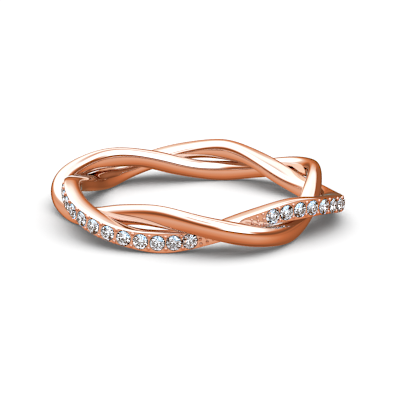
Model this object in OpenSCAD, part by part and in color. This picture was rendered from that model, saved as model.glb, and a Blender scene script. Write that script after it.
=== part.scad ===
// Finger ring of two strands that twist round each other, one plain and one set with round diamonds.
// Millimetres. The ring lies on its side: +Z is the finger's axis, and Z = 0 is the surface it rests on.

/* [Ring] */
// Diameter of the finger hole
hole_d = 17.3; // [16.6:0.1:19.6]
// Thickness of the ring's wall, from the finger hole to the outside
wall = 3.76; // [3.7:0.02:4.1]
// Height of the ring, from one open side to the other
ring_h = 3.58; // [3.5:0.02:3.8]
// Angle at which the plain strand lies furthest out, seen from above
crest_angle = 46.8; // [0:0.1:119.9]

/* [Strands] */
// Width of the plain strand where it lies outside or inside
plain_out_w = 1.62; // [1.4:0.02:1.68]
// Width of the plain strand where it crosses over or under
plain_top_w = 1.3; // [1.2:0.02:1.4]
// Height of the plain strand where it lies outside or inside
plain_out_h = 1.76; // [1.5:0.02:1.76]
// How much further in the plain strand lies where it crosses over or under
plain_cross_in = 0.14; // [0:0.02:0.16]
// Width of the diamond strand where it lies outside or inside
gem_out_w = 2.06; // [1.9:0.02:2.08]
// Width of the diamond strand where it crosses over or under
gem_top_w = 1.6; // [1.5:0.02:1.66]
// Height of the diamond strand where it lies outside or inside
gem_out_h = 1.46; // [1.4:0.02:1.5]
// Clear gap between the two strands where one crosses over the other
cross_gap = 0.1; // [0.06:0.01:0.2]

/* [Diamonds] */
// Diamonds in each row
stones = 14; // [8:1:14]
// Diameter of a diamond at its girdle
stone_d = 1.16; // [1:0.02:1.16]
// Angle round the ring from one diamond to the next
stone_pitch = 6.44; // [6.34:0.02:6.5]
// Share of a diamond's diameter that its flat table takes
table_share = 0.57; // [0.52:0.01:0.62]
// Gap between a diamond and its seat
seat_gap = 0.03; // [0.02:0.005:0.035]
// Radius of a bead that holds two neighbouring diamonds
bead_r = 0.16; // [0.12:0.01:0.16]

/* [Hidden] */
// Full turns that the strands make round each other, and the two strands' numbers
TURNS = 3;
PLAIN = 0;
GEM = 1;

// Each strand's sizes, with the columns named below
OUT_W = 0;
TOP_W = 1;
OUT_H = 2;
CROSS_IN = 3;
STRANDS = [
    [plain_out_w, plain_top_w, plain_out_h, plain_cross_in],
    [gem_out_w, gem_top_w, gem_out_h, 0],
];

// Sections round the ring, and sides of the plain strand
STATIONS = 72;
SIDES = 12;

// How square the plain strand's section is, and the diamond strand's inside and outside its ridge:
// 2 is an oval, and more is squarer
PLAIN_SQUARE = 2.2;
INNER_SQUARE = 2.7;
OUTER_SQUARE = 3;

// How far out from its middle the diamond strand is highest, as a share of half the width
RIDGE = 0.4;

// How much a strand's half height shrinks at its waists, and how soon it gets lower past a crossing
WAIST = 0.06;
LOWER_SOON = 0.66;

// Small angle that slopes are measured over
STEP = 0.01;

// The ring's middle line, the angle that one turn takes, and how far the strands climb from the middle
ring_r = hole_d / 2 + wall / 2;
mid_z = ring_h / 2;
lobe = 360 / TURNS;
top_h = (ring_h - cross_gap) / 2;
weave_up = (ring_h - top_h) / 2;

// A row of diamonds reaches this far to both sides of its middle, and its middle lies a little to one side
row_half = stone_pitch * (stones - 1) / 2;
row_shift = -0.4;

// How far out the flat stone face lies, as a share of half the width, and the same where there is no face
FACE_SHARE = 0.8;
ROUND_SHARE = 0.99;

// Angles from a row's middle between which the face fades
face_from = row_half + 13;
face_to = lobe / 2;

// A round brilliant's proportions, as shares of its diameter, and its 8-fold faces
CROWN = 0.15;
GIRDLE = 0.03;
PAVILION = 0.43;
FOLD = 8;
HALF = 180 / FOLD;
STAR_REACH = 0.79;
LOWER_REACH = 0.24;
stone_r = stone_d / 2;

// How far a seat is cut on past the face
SEAT_OVER = 0.3;

// Beads: sides, height over the face, depth under it, and the radius at foot, neck and tip as shares
BEAD_SIDES = 10;
BEAD_RISE = 0.13;
BEAD_SINK = 0.06;
BEAD_FOOT = 1.1;
BEAD_NECK = 0.78;
BEAD_TIP = 0.39;
NECK_SHARE = 0.6;
bead_up = 0.49;

// Small beads past both ends of a row: each column is smaller and lower than the one before
END_COLUMNS = 3;
END_BEADS = 3;
END_START = 4.2;
END_STEP = 2.6;
END_R = 0.14;
END_R_DROP = 0.015;
END_UP = 0.4;
END_UP_DROP = 0.065;

function gem_name(row, i) = str("diamond_", row, "_", i);

// A smooth step from 0 to 1
function ease(x) = let (c = min(1, max(0, x))) c * c * (3 - 2 * c);

function power(v, e) = sign(v) * pow(abs(v), e);

// Where a strand is on its way round the other: 0 outside, 90 on top, 180 inside, 270 below
function phase(a, strand) = TURNS * (crest_angle - a) + 180 * strand;

// 1 where a strand lies outside or inside, 0 where it crosses over or under
function side_share(a, strand) = pow(cos(phase(a, strand)), 2);

function blend(from, to, share) = from + (to - from) * share;

function half_w(a, strand) =
    let (s = STRANDS[strand])
    blend(s[TOP_W], s[OUT_W], side_share(a, strand)) / 2;

// The two strands slip past each other between outside and top, so both have a slight waist there
function half_h(a, strand) =
    blend(top_h, STRANDS[strand][OUT_H], pow(side_share(a, strand), LOWER_SOON)) / 2
    - WAIST * pow(sin(2 * phase(a, strand)), 2);

// A strand's middle, so that both strands reach equally far in and out
function middle_r(a, strand) =
    let (s = STRANDS[strand], way = phase(a, strand))
    ring_r + (wall - s[OUT_W]) / 2 * cos(way) - s[CROSS_IN] * pow(sin(way), 2);

function middle_z(a, strand) = mid_z + weave_up * sin(phase(a, strand));

// Middle of a row of diamonds, and how far an angle lies from the nearest one
function row_angle(row) = crest_angle + lobe * (row - 1.5);

function past_row(a) =
    let (d = (a - row_angle(1) + lobe / 2) / lobe)
    abs(d - floor(d) - 0.5) * lobe;

// The flat stone face runs along a row and fades out before the strand turns inward
function face_share(a) =
    blend(ROUND_SHARE, FACE_SHARE, ease((face_to - past_row(a)) / (face_to - face_from)));

function oval_point(t, w, h, p) = [w * power(cos(t), 2 / p), h * power(sin(t), 2 / p)];

// The diamond strand is like a D: short outside its ridge, where the stones lie, and long inside it
function gem_point(t, w, h) =
    let (out = cos(t) > 0, reach = out ? 1 - RIDGE : 1 + RIDGE)
    [RIDGE * w, 0] + oval_point(t, reach * w, h, out ? OUTER_SQUARE : INNER_SQUARE);

function plain_section(a) =
    [for (i = [0:SIDES - 1]) oval_point(360 / SIDES * i, half_w(a, PLAIN), half_h(a, PLAIN), PLAIN_SQUARE)];

// Angles of the diamond strand's section, from the face's upper edge over the inside to its lower edge
function gem_turns(edge) = [
    for (i = [0:2]) edge + (90 - edge) * i / 3,
    for (i = [0:5]) 90 + 30 * i,
    for (i = [0:3]) 270 + (90 - edge) * i / 3,
];

function gem_section(a) =
    let (edge = acos(pow((face_share(a) - RIDGE) / (1 - RIDGE), OUTER_SQUARE / 2)))
    [for (t = gem_turns(edge)) gem_point(t, half_w(a, GEM), half_h(a, GEM))];

// Puts a section's point into its place on the ring
function placed(point, a, strand) =
    let (r = middle_r(a, strand) + point[0])
    [r * cos(a), r * sin(a), middle_z(a, strand) + point[1]];

// A closed loop through sections of the same number of points, in two triangles for each patch
module loop(sections) {
    count = len(sections);
    sides = len(sections[0]);
    points = [for (s = sections) for (p = s) p];
    faces = [
        for (i = [0:count - 1])
            for (j = [0:sides - 1])
                let (
                    k = (i + 1) % count,
                    m = (j + 1) % sides,
                    a = i * sides + j,
                    b = i * sides + m,
                    c = k * sides + m,
                    d = k * sides + j
                )
                each [[a, b, c], [a, c, d]]
    ];
    polyhedron(points, faces);
}

function stations() = [for (i = [0:STATIONS - 1]) crest_angle + 360 / STATIONS * i];

// The stone face's distance from the finger's axis, and the way that it faces
function face_r(a) = middle_r(a, GEM) + face_share(a) * half_w(a, GEM);

function face_way(a) =
    let (slope = (face_r(a + STEP) - face_r(a - STEP)) / (2 * STEP) * 180 / PI)
    a - atan2(slope, face_r(a));

// How steeply the diamond strand climbs along its face
function climb(a) =
    let (rise = middle_z(a + STEP, GEM) - middle_z(a - STEP, GEM))
    atan2(rise, 2 * STEP * face_r(a) * PI / 180);

function stone_angle(row, i) = row_angle(row) + row_shift + (i - (stones + 1) / 2) * stone_pitch;

// Puts its children on the stone face: +Z out of the face, +Y along the row and -X towards its upper edge
module on_face(a) {
    translate([face_r(a) * cos(a), face_r(a) * sin(a), middle_z(a, GEM)])
        rotate([0, 90, face_way(a)])
            rotate([0, 0, climb(a)])
                children();
}

function around(count, r, z, start = 0) =
    [for (i = [0:count - 1]) [r * cos(360 / count * i + start), r * sin(360 / count * i + start), z]];

// A round brilliant: table, stars, kites, upper halves, girdle, lower halves and pavilion mains
module brilliant() {
    table_r = stone_r * table_share;
    girdle_z = stone_d * GIRDLE;
    crown_h = stone_d * CROWN;
    depth = stone_d * PAVILION;
    star_z = girdle_z + crown_h * (1 - STAR_REACH) / (1 - table_share);
    lower_z = -depth * (1 - LOWER_REACH);

    table = 0;
    star = table + FOLD;
    upper = star + FOLD;
    under = upper + 2 * FOLD;
    lower = under + 2 * FOLD;
    culet = lower + FOLD;
    points = concat(
        around(FOLD, table_r, girdle_z + crown_h),
        around(FOLD, stone_r * STAR_REACH / cos(HALF), star_z, HALF),
        around(2 * FOLD, stone_r, girdle_z),
        around(2 * FOLD, stone_r, 0),
        around(FOLD, stone_r * LOWER_REACH / cos(HALF), lower_z, HALF),
        [[0, 0, -depth]]
    );
    faces = concat(
        [[for (i = [FOLD - 1:-1:0]) table + i]],
        [
            for (i = [0:FOLD - 1])
                let (
                    next = (i + 1) % FOLD,
                    last = (i + FOLD - 1) % FOLD,
                    at = 2 * i,
                    mid = 2 * i + 1,
                    after = (2 * i + 2) % (2 * FOLD)
                )
                each [
                    [table + i, table + next, star + i],
                    [table + i, star + i, upper + at, star + last],
                    [star + i, upper + mid, upper + at],
                    [star + i, upper + after, upper + mid],
                    [upper + at, upper + mid, under + mid, under + at],
                    [upper + mid, upper + after, under + after, under + mid],
                    [under + at, under + mid, lower + i],
                    [under + mid, under + after, lower + i],
                    [lower + last, under + at, lower + i, culet],
                ]
        ]
    );
    polyhedron(points, faces);
}

// The seat that is cut for a diamond: its pavilion's cone, opened out by the gap and carried past the face
module seat() {
    slope = stone_d * PAVILION / stone_r;
    depth = stone_d * PAVILION + seat_gap * sqrt(1 + slope * slope);
    height = depth + SEAT_OVER;
    translate([0, 0, -depth])
        cylinder(r1 = 0, r2 = height / slope, h = height, $fn = 2 * FOLD);
}

// A low bead raised from the face: a foot that starts under the face, and a blunt tip
module bead(r) {
    hull() {
        translate([0, 0, -BEAD_SINK])
            cylinder(
                r1 = r * BEAD_FOOT,
                r2 = r * BEAD_NECK,
                h = BEAD_SINK + BEAD_RISE * NECK_SHARE,
                $fn = BEAD_SIDES
            );
        cylinder(r1 = r * BEAD_TIP, r2 = 0, h = BEAD_RISE, $fn = BEAD_SIDES);
    }
}

// Beads spread evenly over the height of the face, the outer ones at the given distance from its middle
module bead_column(a, count, r, up) {
    on_face(a)
        for (i = [0:count - 1])
            translate([up * (2 * i / (count - 1) - 1), 0, 0])
                bead(r);
}

// The beads of one row: a pair between neighbouring diamonds, then small beads that taper off at both ends
module row_beads(row) {
    for (i = [1:stones - 1])
        bead_column(stone_angle(row, i + 0.5), 2, bead_r, bead_up);
    for (way = [-1, 1])
        for (i = [0:END_COLUMNS - 1])
            bead_column(
                row_angle(row) + row_shift + way * (row_half + END_START + END_STEP * i),
                END_BEADS,
                END_R - END_R_DROP * i,
                END_UP - END_UP_DROP * i
            );
}

module plain_strand() {
    color("#dd8f6c")
        loop([for (a = stations()) [for (p = plain_section(a)) placed(p, a, PLAIN)]]);
}

module diamond_strand() {
    color("#cf7c58") {
        difference() {
            loop([for (a = stations()) [for (p = gem_section(a)) placed(p, a, GEM)]]);
            for (row = [1:TURNS])
                for (i = [1:stones])
                    on_face(stone_angle(row, i))
                        seat();
        }
        for (row = [1:TURNS])
            row_beads(row);
    }
}

module diamond(row, i) {
    color("#e6ecf2")
        on_face(stone_angle(row, i))
            brilliant();
}

plain_strand();
diamond_strand();
for (row = [1:TURNS])
    for (i = [1:stones])
        diamond(row, i);
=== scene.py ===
import math

import bmesh
import bpy
from mathutils import Matrix, Vector


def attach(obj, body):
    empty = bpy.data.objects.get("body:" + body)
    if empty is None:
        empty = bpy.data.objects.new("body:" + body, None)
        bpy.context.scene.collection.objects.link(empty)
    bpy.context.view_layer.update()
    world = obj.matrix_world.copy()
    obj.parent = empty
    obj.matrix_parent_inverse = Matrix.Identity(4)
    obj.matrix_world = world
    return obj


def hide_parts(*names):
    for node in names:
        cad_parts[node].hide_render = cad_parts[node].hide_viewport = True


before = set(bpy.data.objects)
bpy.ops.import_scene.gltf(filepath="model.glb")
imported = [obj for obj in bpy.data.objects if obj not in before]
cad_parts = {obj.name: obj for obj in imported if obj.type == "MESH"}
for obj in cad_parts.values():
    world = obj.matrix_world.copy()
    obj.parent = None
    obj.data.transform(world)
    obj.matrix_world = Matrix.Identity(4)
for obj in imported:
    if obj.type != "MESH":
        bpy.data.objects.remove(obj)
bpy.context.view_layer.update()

# ---- Sizes, in millimetres and degrees, as in the part's source ----

# What turns millimetres into Blender's metres
MM = 0.001

# The ring: its finger hole, the depth of both strands together and the radius halfway through them,
# and its height and half of that
HOLE_D = 17.3
WALL = 3.76
RING_R = (HOLE_D + WALL) / 2
RING_H = 3.58
MID_Z = RING_H / 2

# The twist: its full turns, the angle that one takes, and an angle at which the plain strand is outside
TURNS = 3
LOBE = 360 / TURNS
CREST = 46.8

# Where one strand lies over the other: the gap between them, each one's height, and how far it rises
CROSS_GAP = 0.1
TOP_H = (RING_H - CROSS_GAP) / 2
WEAVE_UP = (RING_H - TOP_H) / 2

# How square the sections are: 2 is an oval, and more is squarer
PLAIN_SQUARE = 2.2
INNER_SQUARE = 2.7
OUTER_SQUARE = 3

# Where the diamond strand is highest, as a share of its half width
RIDGE = 0.4

# How much less a strand's half height is halfway between side and top, and how soon its height
# changes (1 is evenly)
WAIST = 0.06
LOWER_SOON = 0.66

# Each strand's place in the twist, its width outside and on top, its height outside, and how far
# inwards it is set where it lies on top or below
PLAIN = {"turn": 0, "out_w": 1.62, "top_w": 1.3, "out_h": 1.76, "cross_in": 0.14}
GEM = {"turn": 180, "out_w": 2.06, "top_w": 1.6, "out_h": 1.46, "cross_in": 0}

# The rows of diamonds: how many stones each has, their width and distance, how far each row is from
# the strand's crest, and half its length
STONES = 14
STONE_D = 1.16
PITCH = 6.44
ROW_SHIFT = -0.4
ROW_HALF = PITCH * (STONES - 1) / 2

# The flat stone face: how far out it lies along a row and away from rows, as a share of the half width,
# how far past a row it stays so, and between which angles from the row's middle it changes
FACE_SHARE = 0.8
ROUND_SHARE = 0.99
FACE_PAST = 13
FACE_FROM, FACE_TO = ROW_HALF + FACE_PAST, LOBE / 2

# The seats: the stones' depth as a share of their width, the gap round a stone, the cutter's reach over
# the face, its blunt tip and its sides
PAVILION = 0.43
SEAT_GAP = 0.03
SEAT_OVER = 0.3
SEAT_TIP_R = 0.02
SEAT_SIDES = 32

# The beads between stones: radius, height over the face, depth under it, and distance from its middle
BEAD_R = 0.16
BEAD_RISE = 0.13
BEAD_SINK = 0.05
BEAD_UP = 0.49

# The beads past a row's ends, in columns that get smaller: their numbers, angles, radius and spread
END_COLUMNS, END_BEADS = 3, 3
END_START, END_STEP = 4.2, 2.6
END_R, END_R_DROP = 0.14, 0.015
END_UP, END_UP_DROP = 0.4, 0.065

# How finely it is built: sections round the ring, points to a quarter of a section and how they crowd
# towards the top (1 is evenly), points on the stone face as shares of its half height, how far its edges
# are cut back, and a bead's points
STATIONS = 720
QUARTER = 16
TOP_CROWDING = 0.8
FACE_POINTS = (-0.5, 0, 0.5)
EDGE_CUT = 0.035
BEAD_SIDES, BEAD_RINGS = 20, 6

# Edges that bend more than this many degrees stay sharp
PLAIN_SHARP, GEM_SHARP, BEAD_SHARP = 40, 35, 60


# ---- The strands' shape ----


def ease(x):
    """A smooth step from 0 to 1."""
    c = min(1, max(0, x))
    return c * c * (3 - 2 * c)


def mix(a, b, share):
    return a + (b - a) * share


def signed_power(v, e):
    return math.copysign(abs(v) ** e, v)


def phase(a, strand):
    """How far round the other strand this one is, in radians: 0 is outside, and pi / 2 is on top."""
    return math.radians(TURNS * (CREST - a) + strand["turn"])


def side_share(a, strand):
    """1 where the strand is outside or inside, and 0 where it is on top or below."""
    return math.cos(phase(a, strand)) ** 2


def half_w(a, strand):
    return mix(strand["top_w"], strand["out_w"], side_share(a, strand)) / 2


def half_h(a, strand):
    height = mix(TOP_H, strand["out_h"], side_share(a, strand) ** LOWER_SOON)
    return height / 2 - WAIST * math.sin(2 * phase(a, strand)) ** 2


def middle_r(a, strand):
    way = phase(a, strand)
    out = (WALL - strand["out_w"]) / 2 * math.cos(way)
    return RING_R + out - strand["cross_in"] * math.sin(way) ** 2


def middle_z(a, strand):
    return MID_Z + WEAVE_UP * math.sin(phase(a, strand))


def row_angle(row):
    """Halfway between crests: row 1 at the photo's right, row 2 at the back, row 3 at the front left."""
    return CREST + LOBE * (row - 1.5)


def past_row(a):
    """How far an angle is from the middle of the nearest row."""
    lobes = (a - row_angle(1) + LOBE / 2) / LOBE
    return abs(lobes - math.floor(lobes) - 0.5) * LOBE


def face_share(a):
    return mix(ROUND_SHARE, FACE_SHARE, ease((FACE_TO - past_row(a)) / (FACE_TO - FACE_FROM)))


def face_r(a):
    return middle_r(a, GEM) + face_share(a) * half_w(a, GEM)


def place(a, r, z):
    """A point in metres from an angle round the ring, a radius and a height."""
    t = math.radians(a)
    return Vector((r * math.cos(t), r * math.sin(t), z)) * MM


def oval_point(t, w, h, square):
    x = w * signed_power(math.cos(t), 2 / square)
    y = h * signed_power(math.sin(t), 2 / square)
    return Vector((x, y))


def gem_point(t, w, h):
    """The diamond strand is like a D: short outside its ridge, where the stones lie, and long inside."""
    ridge = Vector((RIDGE * w, 0))
    if math.cos(t) > 0:
        return ridge + oval_point(t, (1 - RIDGE) * w, h, OUTER_SQUARE)
    return ridge + oval_point(t, (1 + RIDGE) * w, h, INNER_SQUARE)


def plain_section(a):
    """A soft oval, with its points closer together where it bends most."""
    w, h = half_w(a, PLAIN), half_h(a, PLAIN)
    count = 4 * QUARTER
    return [oval_point(2 * math.pi * i / count, w, h, PLAIN_SQUARE) for i in range(count)]


def cut_corner(before, corner, after):
    """Three points that round a corner off."""
    a = corner + (before - corner).normalized() * EDGE_CUT
    b = corner + (after - corner).normalized() * EDGE_CUT
    return [a, (a + b) / 4 + corner / 2, b]


def gem_section(a):
    """From low on the flat stone face over the top, round the inside and back along the bottom."""
    w, h = half_w(a, GEM), half_h(a, GEM)
    edge = math.acos(((face_share(a) - RIDGE) / (1 - RIDGE)) ** (OUTER_SQUARE / 2))
    quarter = math.pi / 2
    upper = [mix(edge, quarter, (i / QUARTER) ** TOP_CROWDING) for i in range(1, QUARTER)]
    inner = [quarter + math.pi * i / (2 * QUARTER) for i in range(2 * QUARTER + 1)]
    top = [gem_point(t, w, h) for t in upper]
    inside = [gem_point(t, w, h) for t in inner]
    bottom = [Vector((v.x, -v.y)) for v in reversed(top)]
    corner = gem_point(edge, w, h)
    low_corner = Vector((corner.x, -corner.y))
    face = [Vector((corner.x, corner.y * up)) for up in FACE_POINTS]
    upper_edge = cut_corner(face[-1], corner, top[0])
    lower_edge = cut_corner(bottom[-1], low_corner, face[0])
    return face + upper_edge + top + inside + bottom + lower_edge


def loop_mesh(name, section, strand):
    """A closed loop of sections round the ring."""
    rings = []
    for i in range(STATIONS):
        a = CREST + 360 * i / STATIONS
        r, z = middle_r(a, strand), middle_z(a, strand)
        rings.append([place(a, r + p.x, z + p.y) for p in section(a)])
    sides = len(rings[0])
    verts = [p for ring in rings for p in ring]
    faces = []
    for i in range(STATIONS):
        k = (i + 1) % STATIONS
        for j in range(sides):
            m = (j + 1) % sides
            faces.append((i * sides + j, k * sides + j, k * sides + m, i * sides + m))
    mesh = bpy.data.meshes.new(name)
    mesh.from_pydata(verts, [], faces)
    mesh.update()
    return mesh


# ---- The stone face: seats and beads ----


def to_mesh(bm, name):
    mesh = bpy.data.meshes.new(name)
    bm.to_mesh(mesh)
    bm.free()
    return mesh


def on_face(a):
    """A matrix with +Z out of the stone face, +Y along the row and -X towards its upper edge."""
    step = 0.01
    slope = (face_r(a + step) - face_r(a - step)) / math.radians(2 * step)
    way = math.radians(a) - math.atan2(slope, face_r(a))
    rise = middle_z(a + step, GEM) - middle_z(a - step, GEM)
    climb = math.atan2(rise, math.radians(2 * step) * face_r(a))
    return (
        Matrix.Translation(place(a, face_r(a), middle_z(a, GEM)))
        @ Matrix.Rotation(way, 4, "Z")
        @ Matrix.Rotation(math.pi / 2, 4, "Y")
        @ Matrix.Rotation(climb, 4, "Z")
    )


def stone_angle(row, i):
    return row_angle(row) + ROW_SHIFT + (i - (STONES + 1) / 2) * PITCH


def seat_cutter():
    """One mesh of all the cones that the diamonds' seats are cut with."""
    slope = 2 * PAVILION
    depth = STONE_D * PAVILION + SEAT_GAP * math.sqrt(1 + slope * slope)
    height = depth + SEAT_OVER
    middle = Matrix.Translation((0, 0, (height / 2 - depth) * MM))
    bm = bmesh.new()
    for row in range(1, TURNS + 1):
        for i in range(1, STONES + 1):
            bmesh.ops.create_cone(
                bm,
                cap_ends=True,
                segments=SEAT_SIDES,
                radius1=SEAT_TIP_R * MM,
                radius2=height / slope * MM,
                depth=height * MM,
                matrix=on_face(stone_angle(row, i)) @ middle,
            )
    return to_mesh(bm, "seat_cutter")


def bead_places():
    """Each bead as an angle, a distance from the face's middle and a radius."""
    for row in range(1, TURNS + 1):
        for i in range(1, STONES):
            for up in (-BEAD_UP, BEAD_UP):
                yield stone_angle(row, i + 0.5), up, BEAD_R
        for way in (-1, 1):
            for i in range(END_COLUMNS):
                a = row_angle(row) + ROW_SHIFT + way * (ROW_HALF + END_START + END_STEP * i)
                for k in range(END_BEADS):
                    up = (END_UP - END_UP_DROP * i) * (2 * k / (END_BEADS - 1) - 1)
                    yield a, up, END_R - END_R_DROP * i


def bead_levels(r):
    """A bead's radius and height at its foot and at each ring of its dome."""
    turns = [math.pi / 2 * k / BEAD_RINGS for k in range(BEAD_RINGS)]
    return [(r, -BEAD_SINK)] + [(r * math.cos(t), BEAD_RISE * math.sin(t)) for t in turns]


def bead_mesh():
    """Round beads, each a low dome that stands on a short foot."""
    turns = [2 * math.pi * n / BEAD_SIDES for n in range(BEAD_SIDES)]
    bm = bmesh.new()
    for a, up, r in bead_places():
        at = on_face(a) @ Matrix.Translation((up * MM, 0, 0))
        loops = []
        for radius, z in bead_levels(r):
            points = [Vector((radius * math.cos(t), radius * math.sin(t), z)) * MM for t in turns]
            loops.append([bm.verts.new(at @ p) for p in points])
        tip = bm.verts.new(at @ Vector((0, 0, BEAD_RISE * MM)))
        for low, high in zip(loops, loops[1:]):
            for n in range(BEAD_SIDES):
                m = (n + 1) % BEAD_SIDES
                bm.faces.new((low[n], low[m], high[m], high[n]))
        for n in range(BEAD_SIDES):
            bm.faces.new((loops[-1][n], loops[-1][(n + 1) % BEAD_SIDES], tip))
        bm.faces.new(list(reversed(loops[0])))
    return to_mesh(bm, "setting_beads")


# ---- Nodes ----


def add_node(tree, kind, inputs, output, **settings):
    """Adds a node and returns one output. Its inputs are constants or other nodes' outputs."""
    node = tree.nodes.new(kind)
    for setting, value in settings.items():
        setattr(node, setting, value)
    for socket, value in inputs.items():
        if isinstance(value, bpy.types.NodeSocket):
            tree.links.new(value, node.inputs[socket])
        else:
            node.inputs[socket].default_value = value
    return node.outputs[output]


def math_node(tree, operation, *values):
    return add_node(tree, "ShaderNodeMath", dict(enumerate(values)), "Value", operation=operation)


def noise(tree, scale, detail):
    """Noise in the object's own space."""
    where = add_node(tree, "ShaderNodeTexCoord", {}, "Object")
    inputs = {"Vector": where, "Scale": scale, "Detail": detail}
    return add_node(tree, "ShaderNodeTexNoise", inputs, "Fac")


def between(tree, value, low, high):
    """Turns 0 to 1 into a range of numbers."""
    inputs = {"Value": value, "To Min": low, "To Max": high}
    return add_node(tree, "ShaderNodeMapRange", inputs, "Result")


def step_at(tree, value, edge, soft, up=True):
    """0 below a soft edge and 1 above it, or the other way round."""
    inputs = {
        "Value": value,
        "From Min": edge - soft / 2,
        "From Max": edge + soft / 2,
        "To Min": 0 if up else 1,
        "To Max": 1 if up else 0,
    }
    return add_node(tree, "ShaderNodeMapRange", inputs, "Result", interpolation_type="SMOOTHSTEP")


def ramp(tree, value, stops):
    """A colour ramp through (place, colour) stops."""
    node = tree.nodes.new("ShaderNodeValToRGB")
    elements = node.color_ramp.elements
    while len(elements) < len(stops):
        elements.new(0.5)
    for element, (at, colour) in zip(elements, stops):
        element.position = at
        element.color = (*colour, 1)
    tree.links.new(value, node.inputs["Fac"])
    return node.outputs["Color"]


# ---- Materials ----

# Noise in the materials: waves per metre, and how much finer detail they have
ALLOY_CLOUDS = (350, 2)
POLISHING_MARKS = (2600, 4)
METAL_RIPPLE = (1500, 3)
STONE_TINTS = (700, 2)
PAPER_TINTS = (60, 2)

# How far to each side of the noise's middle the two colours of a material are
EVEN_SPREAD = 0.15
PAPER_SPREAD = 0.2

# The ripple: how much of it shows, and its depth in metres
RIPPLE_SHARE = 0.04
RIPPLE_DEPTH = 0.00001

# Each metal's pale and deep colour, and its roughness from and to. The bright cuts of the seats are
# neutral, because the stones over them look colourless in the photo
GOLD = (0.84, 0.43, 0.29)
POLISHED_GOLD = (GOLD, (0.815, 0.405, 0.265), (0.02, 0.05))
BEAD_GOLD = ((0.92, 0.42, 0.265), (0.84, 0.37, 0.235), (0.28, 0.36))
SEAT_METAL = ((0.86, 0.86, 0.88), (0.78, 0.78, 0.8), (0.02, 0.05))
GOLD_EDGE_TINT = (0.95, 0.72, 0.58, 1)

# Diamond: how strongly it bends light, its two tints, and a tint that takes most of the blue out of its
# gloss, because it mirrors a studio that is lit for gold
DIAMOND_IOR = 2.42
DIAMOND_TINTS = ((0.91, 0.945, 1.0), (0.97, 0.985, 1.0))
DIAMOND_GLOSS_TINT = (1.0, 0.88, 0.8, 1)

# The floor's paper, and its half width in metres
PAPER_GREYS = ((0.9, 0.9, 0.9), (0.92, 0.92, 0.92))
PAPER_ROUGHNESS = 0.9
FLOOR_HALF = 1.5


def new_material(name, values):
    """A material with these values on its shader."""
    mat = bpy.data.materials.new(name)
    mat.use_nodes = True
    tree = mat.node_tree
    shader = tree.nodes["Principled BSDF"]
    for socket, value in values.items():
        shader.inputs[socket].default_value = value
    return mat, tree, shader


def tint(tree, shader, waves, low, high, spread=EVEN_SPREAD):
    """Lets the base colour drift between two colours."""
    stops = [(0.5 - spread, low), (0.5 + spread, high)]
    tree.links.new(ramp(tree, noise(tree, *waves), stops), shader.inputs["Base Color"])


def metal(name, pale, deep, rough):
    """Polished metal: faint clouding of the alloy, fine polishing marks and a slight ripple."""
    mat, tree, shader = new_material(name, {"Metallic": 1.0, "Specular Tint": GOLD_EDGE_TINT})
    tint(tree, shader, ALLOY_CLOUDS, deep, pale)
    roughness = between(tree, noise(tree, *POLISHING_MARKS), *rough)
    tree.links.new(roughness, shader.inputs["Roughness"])
    ripple = {
        "Strength": RIPPLE_SHARE,
        "Distance": RIPPLE_DEPTH,
        "Height": noise(tree, *METAL_RIPPLE),
    }
    tree.links.new(add_node(tree, "ShaderNodeBump", ripple, "Normal"), shader.inputs["Normal"])
    return mat


def diamond():
    """Clear stone with a breath of cool colour that differs from stone to stone."""
    values = {
        "Transmission Weight": 1.0,
        "IOR": DIAMOND_IOR,
        "Roughness": 0.0,
        "Specular Tint": DIAMOND_GLOSS_TINT,
    }
    mat, tree, shader = new_material("diamond", values)
    tint(tree, shader, STONE_TINTS, *DIAMOND_TINTS)
    return mat


# ---- Building the pieces ----


def add_piece(name, mesh, sharp, mat=None, replaced=None):
    """Adds a metal piece. Without a material of its own it keeps the mesh's."""
    for face in mesh.polygons:
        face.use_smooth = True
    mesh.set_sharp_from_angle(angle=math.radians(sharp))
    if mat:
        mesh.materials.clear()
        mesh.materials.append(mat)
    obj = bpy.data.objects.new(name, mesh)
    bpy.context.scene.collection.objects.link(obj)
    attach(obj, "root")
    if replaced:
        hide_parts(replaced)


def cut_seats(mesh, gold, seat_metal):
    """Cuts the seats out of the diamond strand; their faces keep the cutter's material.

    The cut is made at a thousand times the size, where it is exact.
    """
    body = bpy.data.objects.new("strand_blank", mesh)
    cutter = bpy.data.objects.new("seat_cutter", seat_cutter())
    body.data.materials.append(gold)
    cutter.data.materials.append(seat_metal)
    for obj in (body, cutter):
        obj.data.transform(Matrix.Scale(1 / MM, 4))
        bpy.context.scene.collection.objects.link(obj)
    mod = body.modifiers.new("seats", "BOOLEAN")
    mod.operation = "DIFFERENCE"
    mod.solver = "MANIFOLD"
    mod.material_mode = "TRANSFER"
    mod.object = cutter
    graph = bpy.context.evaluated_depsgraph_get()
    cut = bpy.data.meshes.new_from_object(body.evaluated_get(graph))
    for obj in (body, cutter):
        bpy.data.objects.remove(obj)
    cut.transform(Matrix.Scale(MM, 4))
    cut.name = "diamond_strand_polished"
    return cut


def build_ring():
    gold = metal("polished_rose_gold", *POLISHED_GOLD)
    bead_gold = metal("bead_rose_gold", *BEAD_GOLD)
    seat_metal = metal("bright_cut_seat", *SEAT_METAL)
    stone = diamond()

    plain = loop_mesh("plain_strand_polished", plain_section, PLAIN)
    add_piece("plain_strand_polished", plain, PLAIN_SHARP, gold, "plain_strand")

    blank = loop_mesh("diamond_strand_blank", gem_section, GEM)
    strand = cut_seats(blank, gold, seat_metal)
    add_piece("diamond_strand_polished", strand, GEM_SHARP, replaced="diamond_strand")

    add_piece("setting_beads", bead_mesh(), BEAD_SHARP, bead_gold)

    for name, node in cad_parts.items():
        if name.startswith("diamond_") and name != "diamond_strand":
            node.data.materials.clear()
            node.data.materials.append(stone)


# ---- Floor ----


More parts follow.
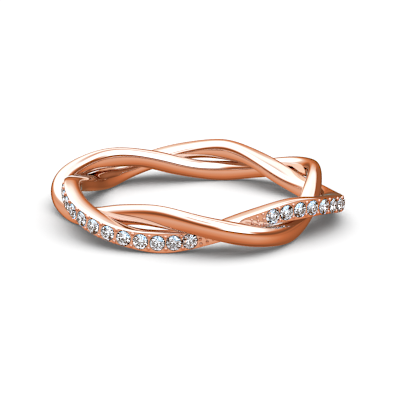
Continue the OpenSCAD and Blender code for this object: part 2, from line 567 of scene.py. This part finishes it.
def make_floor():
    """Plain pale paper. The metal doesn't mirror it: the studio's lower half stands for it there."""
    bm = bmesh.new()
    bmesh.ops.create_grid(bm, x_segments=1, y_segments=1, size=FLOOR_HALF)
    mesh = to_mesh(bm, "floor")
    values = {"Roughness": PAPER_ROUGHNESS, "Specular IOR Level": 0.0}
    mat, tree, shader = new_material("floor_paper", values)
    tint(tree, shader, PAPER_TINTS, *PAPER_GREYS, PAPER_SPREAD)
    mesh.materials.append(mat)
    obj = bpy.data.objects.new("floor", mesh)
    bpy.context.scene.collection.objects.link(obj)
    obj.visible_glossy = False


# ---- Light ----

# The studio as polished gold mirrors it. Brightness runs from 0, unlit, to 1, white.
# The surroundings by the sine of height, from straight down to straight up
HEIGHTS = [
    (-1.0, 0.45),
    (-0.7, 0.58),
    (-0.45, 0.63),
    (-0.27, 0.68),
    (-0.14, 0.66),
    (-0.06, 0.59),
    (0.01, 0.6),
    (0.03, 0.49),
    (0.2, 0.23),
    (0.4, 0.465),
    (0.6, 0.94),
    (0.8, 0.92),
    (1.0, 0.51),
]

# Panels and flags in front of them, each over the ones before it. Across is the middle, half width and
# edge softness in degrees, clockwise from straight behind the ring. Bottom and top are an edge's height
# and softness. Share is how much is covered, and slant raises the bottom edge by so much a degree
SOFTBOXES = {
    "shaded_floor": dict(across=(35, 43, 90), top=(0.02, 0.01), brightness=0.0, share=0.41),
    "dark_far_floor": dict(across=(0, 32, 24), bottom=(-0.5, 0.2), top=(0.08, 0.1), brightness=0.27),
    "dark_flag": dict(across=(31, 17, 3), bottom=(-0.08, 0.13), top=(0.52, 0.02), brightness=0.375),
    "big_white_behind": dict(across=(-43, 42, 60), bottom=(0.1, 0.5), slant=0.001),
    "white_in_front": dict(across=(142, 31, 27), bottom=(0.235, 0.02)),
    "white_over_flag": dict(across=(90, 20, 40), bottom=(0.48, 0.02)),
    "white_overhead": dict(across=(0, 360, 1), bottom=(0.924, 0.02)),
    "small_softbox": dict(across=(-113, 24, 19), bottom=(0.78, 0.03)),
}

# The bottom and top of a panel that has none lie past straight down and straight up
NO_BOTTOM, NO_TOP = (-9, 1), (9, 1)

# How far to each side of its middle a panel's bottom edge slants
SLANT_REACH = 60

# How polished gold looks as it mirrors a brightness: dark brown, copper, pink, then white
GOLD_LOOK = [
    (0.0, (0.15, 0.042, 0.016)),
    (0.23, (0.19, 0.058, 0.022)),
    (0.37, (0.32, 0.095, 0.036)),
    (0.51, (0.565, 0.155, 0.055)),
    (0.6, (0.685, 0.25, 0.115)),
    (0.7, (0.765, 0.395, 0.262)),
    (0.84, (0.867, 0.639, 0.548)),
    (1.0, (1.35, 1.3, 1.27)),
]

# The same for what gold mirrors by way of more gold, where it is deeper
SECOND_LOOK = [
    (0.0, (0.13, 0.038, 0.015)),
    (0.45, (0.2, 0.062, 0.025)),
    (0.65, (0.38, 0.13, 0.06)),
    (0.85, (0.75, 0.4, 0.28)),
    (1.0, (1.0, 0.74, 0.64)),
]

# A ramp holds colours up to 1, so the looks are divided by this and the light is as much stronger
BRIGHTEST = 30.0

# What lights the floor: its strength, and how much of it comes from overhead, as a power of height
FLOOR_LIGHT = 1.2
OVERHEAD = 2
WHITE = (1, 1, 1, 1)

# What the gold throws on the floor, in the colour that gold turns neutral, so that the shadow stays grey
THROWN_LIGHT = 0.5
THROWN_TINT = (0.345, 0.674, 1.0, 1)

# What the diamonds gather from around them: patches of dark, cool grey and white
STONE_PATCHES = 2.0
PATCH_DETAIL = 1.0
STONE_LOOK = [
    (0.38, (0.002, 0.002, 0.004)),
    (0.42, (0.04, 0.045, 0.06)),
    (0.46, (0.4, 0.43, 0.48)),
    (0.5, (1.0, 1.0, 1.0)),
]
STONE_LIGHT = 2.8

# A dark card where the photo was taken from, which the diamonds throw back: its direction, its edge
# and how dark it is
DARK_CARD = (0.0, -0.956, 0.292)
CARD_EDGE = (0.8, 0.08)
CARD_SHADE = 0.3

# Up to a soft edge at this height the room is dimmer, which gives the stones dark facets from every side
ROOM_TOP = (0.62, 0.2)
ROOM_SHADE = 0.07


def light(tree, colour, strength):
    inputs = {"Color": colour, "Strength": strength}
    return add_node(tree, "ShaderNodeBackground", inputs, "Background")


def choose(tree, share, first, second):
    """The first light where share is 0, and the second where it is 1."""
    return add_node(tree, "ShaderNodeMixShader", {"Fac": share, 1: first, 2: second}, "Shader")


def add_panel(
    tree, seen, way, height, across, bottom=NO_BOTTOM, top=NO_TOP, brightness=1.0, share=1, slant=0
):
    """Lays one soft-edged panel over what is seen so far."""
    middle, half, soft = across
    aside = math_node(tree, "WRAP", math_node(tree, "SUBTRACT", way, middle), 180, -180)
    inside = step_at(tree, math_node(tree, "ABSOLUTE", aside), half, soft, up=False)
    near = math_node(tree, "MINIMUM", math_node(tree, "MAXIMUM", aside, -SLANT_REACH), SLANT_REACH)
    leaned = math_node(tree, "ADD", height, math_node(tree, "MULTIPLY", near, -slant))
    over = step_at(tree, leaned, *bottom)
    under = step_at(tree, height, *top, up=False)
    mask = math_node(tree, "MULTIPLY", math_node(tree, "MULTIPLY", inside, over), under)
    rest = math_node(tree, "SUBTRACT", brightness, seen)
    return math_node(tree, "MULTIPLY_ADD", rest, math_node(tree, "MULTIPLY", mask, share), seen)


def mirrored_studio(tree, split):
    """How bright the studio is in each direction: the surroundings with the panels in front of them."""
    height = split["Z"]
    way = math_node(tree, "DEGREES", math_node(tree, "ARCTAN2", split["X"], split["Y"]))
    stops = [((h + 1) / 2, (level, level, level)) for h, level in HEIGHTS]
    seen = ramp(tree, math_node(tree, "MULTIPLY_ADD", height, 0.5, 0.5), stops)
    for panel in SOFTBOXES.values():
        seen = add_panel(tree, seen, way, height, **panel)
    return seen


def seen_by_gold(tree, seen, look, mirrors):
    """The light that gives the gold its look after this many mirrorings in gold."""
    stops = []
    for at, colour in look:
        stops.append((at, tuple(c / g**mirrors / BRIGHTEST for c, g in zip(colour, GOLD))))
    return light(tree, ramp(tree, seen, stops), BRIGHTEST)


def floor_light(tree, height):
    """Light by a power of height, made up to light the floor as much as an even sky would."""
    lit = math_node(tree, "POWER", math_node(tree, "MAXIMUM", height, 0.0), OVERHEAD)
    return light(tree, WHITE, math_node(tree, "MULTIPLY", lit, FLOOR_LIGHT * (OVERHEAD + 2) / 2))


def mirrored_light(tree, split, depth):
    """What the gold mirrors, at the first, second and third mirroring."""
    studio = mirrored_studio(tree, split)
    mirrored = seen_by_gold(tree, studio, GOLD_LOOK, 1)
    for mirrors in (2, 3):
        again = math_node(tree, "GREATER_THAN", depth, mirrors - 0.5)
        mirrored = choose(tree, again, mirrored, seen_by_gold(tree, studio, SECOND_LOOK, mirrors))
    return mirrored


def stone_light(tree, where, height):
    """What reaches a diamond: patches, darker in the lower part of the room and darkest at the card."""
    inputs = {"Vector": where, "Scale": STONE_PATCHES, "Detail": PATCH_DETAIL}
    patches = add_node(tree, "ShaderNodeTexNoise", inputs, "Fac")
    inputs = {0: where, 1: DARK_CARD}
    facing = add_node(tree, "ShaderNodeVectorMath", inputs, "Value", operation="DOT_PRODUCT")
    card = step_at(tree, facing, *CARD_EDGE)
    shaded = math_node(tree, "MULTIPLY_ADD", card, -CARD_SHADE, patches)
    room = step_at(tree, height, *ROOM_TOP, up=False)
    shaded = math_node(tree, "MULTIPLY_ADD", room, -ROOM_SHADE, shaded)
    return light(tree, ramp(tree, shaded, STONE_LOOK), STONE_LIGHT)


def make_light():
    """A soft studio: overhead light for the floor, panels for the metal and patches for the stones."""
    world = bpy.data.worlds.new("studio")
    bpy.context.scene.world = world
    world.use_nodes = True
    tree = world.node_tree
    tree.nodes.clear()
    where = add_node(tree, "ShaderNodeTexCoord", {}, "Generated")
    path = tree.nodes.new("ShaderNodeLightPath").outputs
    split = tree.nodes.new("ShaderNodeSeparateXYZ")
    tree.links.new(where, split.inputs["Vector"])
    split = split.outputs

    mirrored = mirrored_light(tree, split, path["Glossy Depth"])
    thrown = light(tree, THROWN_TINT, THROWN_LIGHT)
    off_floor = math_node(tree, "GREATER_THAN", path["Diffuse Depth"], 0.5)
    glossy = choose(tree, off_floor, mirrored, thrown)
    seen = choose(tree, path["Is Glossy Ray"], floor_light(tree, split["Z"]), glossy)
    through_stone = math_node(tree, "GREATER_THAN", path["Transmission Depth"], 0.5)
    seen = choose(tree, through_stone, seen, stone_light(tree, where, split["Z"]))
    out = tree.nodes.new("ShaderNodeOutputWorld")
    tree.links.new(seen, out.inputs["Surface"])


# ---- Camera ----

# The photo's camera: how many degrees it looks down and leans, and its distance from the ring's middle
ELEVATION = 16.91
ROLL = 0.79
DISTANCE = 133.5

# The photo in pixels: its width, its scale at the ring, and where the ring's middle and the camera's
# axis are
PIXELS = 416
PX_PER_MM = 12.02
CENTRE_PX = (196.27, 192.21)
AXIS_PX = (213.4, 204.86)

# The camera's sensor width, and the nearest that it sees
SENSOR = 36
NEAREST = 5

# How much the picture is sharpened
SHARPNESS = 0.025


def make_camera():
    """The camera's axis passes beside the ring's middle, and a small shift frames it as in the photo."""
    tilt, roll = math.radians(ELEVATION), math.radians(ROLL)
    back = Vector((0, -math.cos(tilt), math.sin(tilt)))
    level = Vector((1, 0, 0))
    rise = back.cross(level)
    right = level * math.cos(roll) + rise * math.sin(roll)
    up = rise * math.cos(roll) - level * math.sin(roll)
    aside = (CENTRE_PX[0] - AXIS_PX[0]) / PX_PER_MM
    over = (AXIS_PX[1] - CENTRE_PX[1]) / PX_PER_MM
    spot = (Vector((0, 0, MID_Z)) + back * DISTANCE - right * aside - up * over) * MM
    cam = bpy.data.cameras.new("camera")
    cam.sensor_width = SENSOR
    cam.lens = SENSOR * DISTANCE * PX_PER_MM / PIXELS
    cam.shift_x = (PIXELS / 2 - AXIS_PX[0]) / PIXELS
    cam.shift_y = (AXIS_PX[1] - PIXELS / 2) / PIXELS
    cam.clip_start = NEAREST * MM
    obj = bpy.data.objects.new("camera", cam)
    turn = Matrix((right, up, back)).transposed().to_4x4()
    obj.matrix_world = Matrix.Translation(spot) @ turn
    bpy.context.scene.collection.objects.link(obj)
    bpy.context.scene.camera = obj


def make_finish():
    """Plain colours and a touch of sharpening, as product photographs get."""
    scene = bpy.context.scene
    scene.view_settings.view_transform = "Standard"
    scene.use_nodes = True
    tree = scene.node_tree
    tree.nodes.clear()
    image = add_node(tree, "CompositorNodeRLayers", {}, "Image")
    inputs = {"Fac": SHARPNESS, "Image": image}
    sharpened = add_node(tree, "CompositorNodeFilter", inputs, "Image", filter_type="SHARPEN")
    out = tree.nodes.new("CompositorNodeComposite")
    tree.links.new(sharpened, out.inputs["Image"])


build_ring()
make_floor()
make_light()
make_camera()
make_finish()
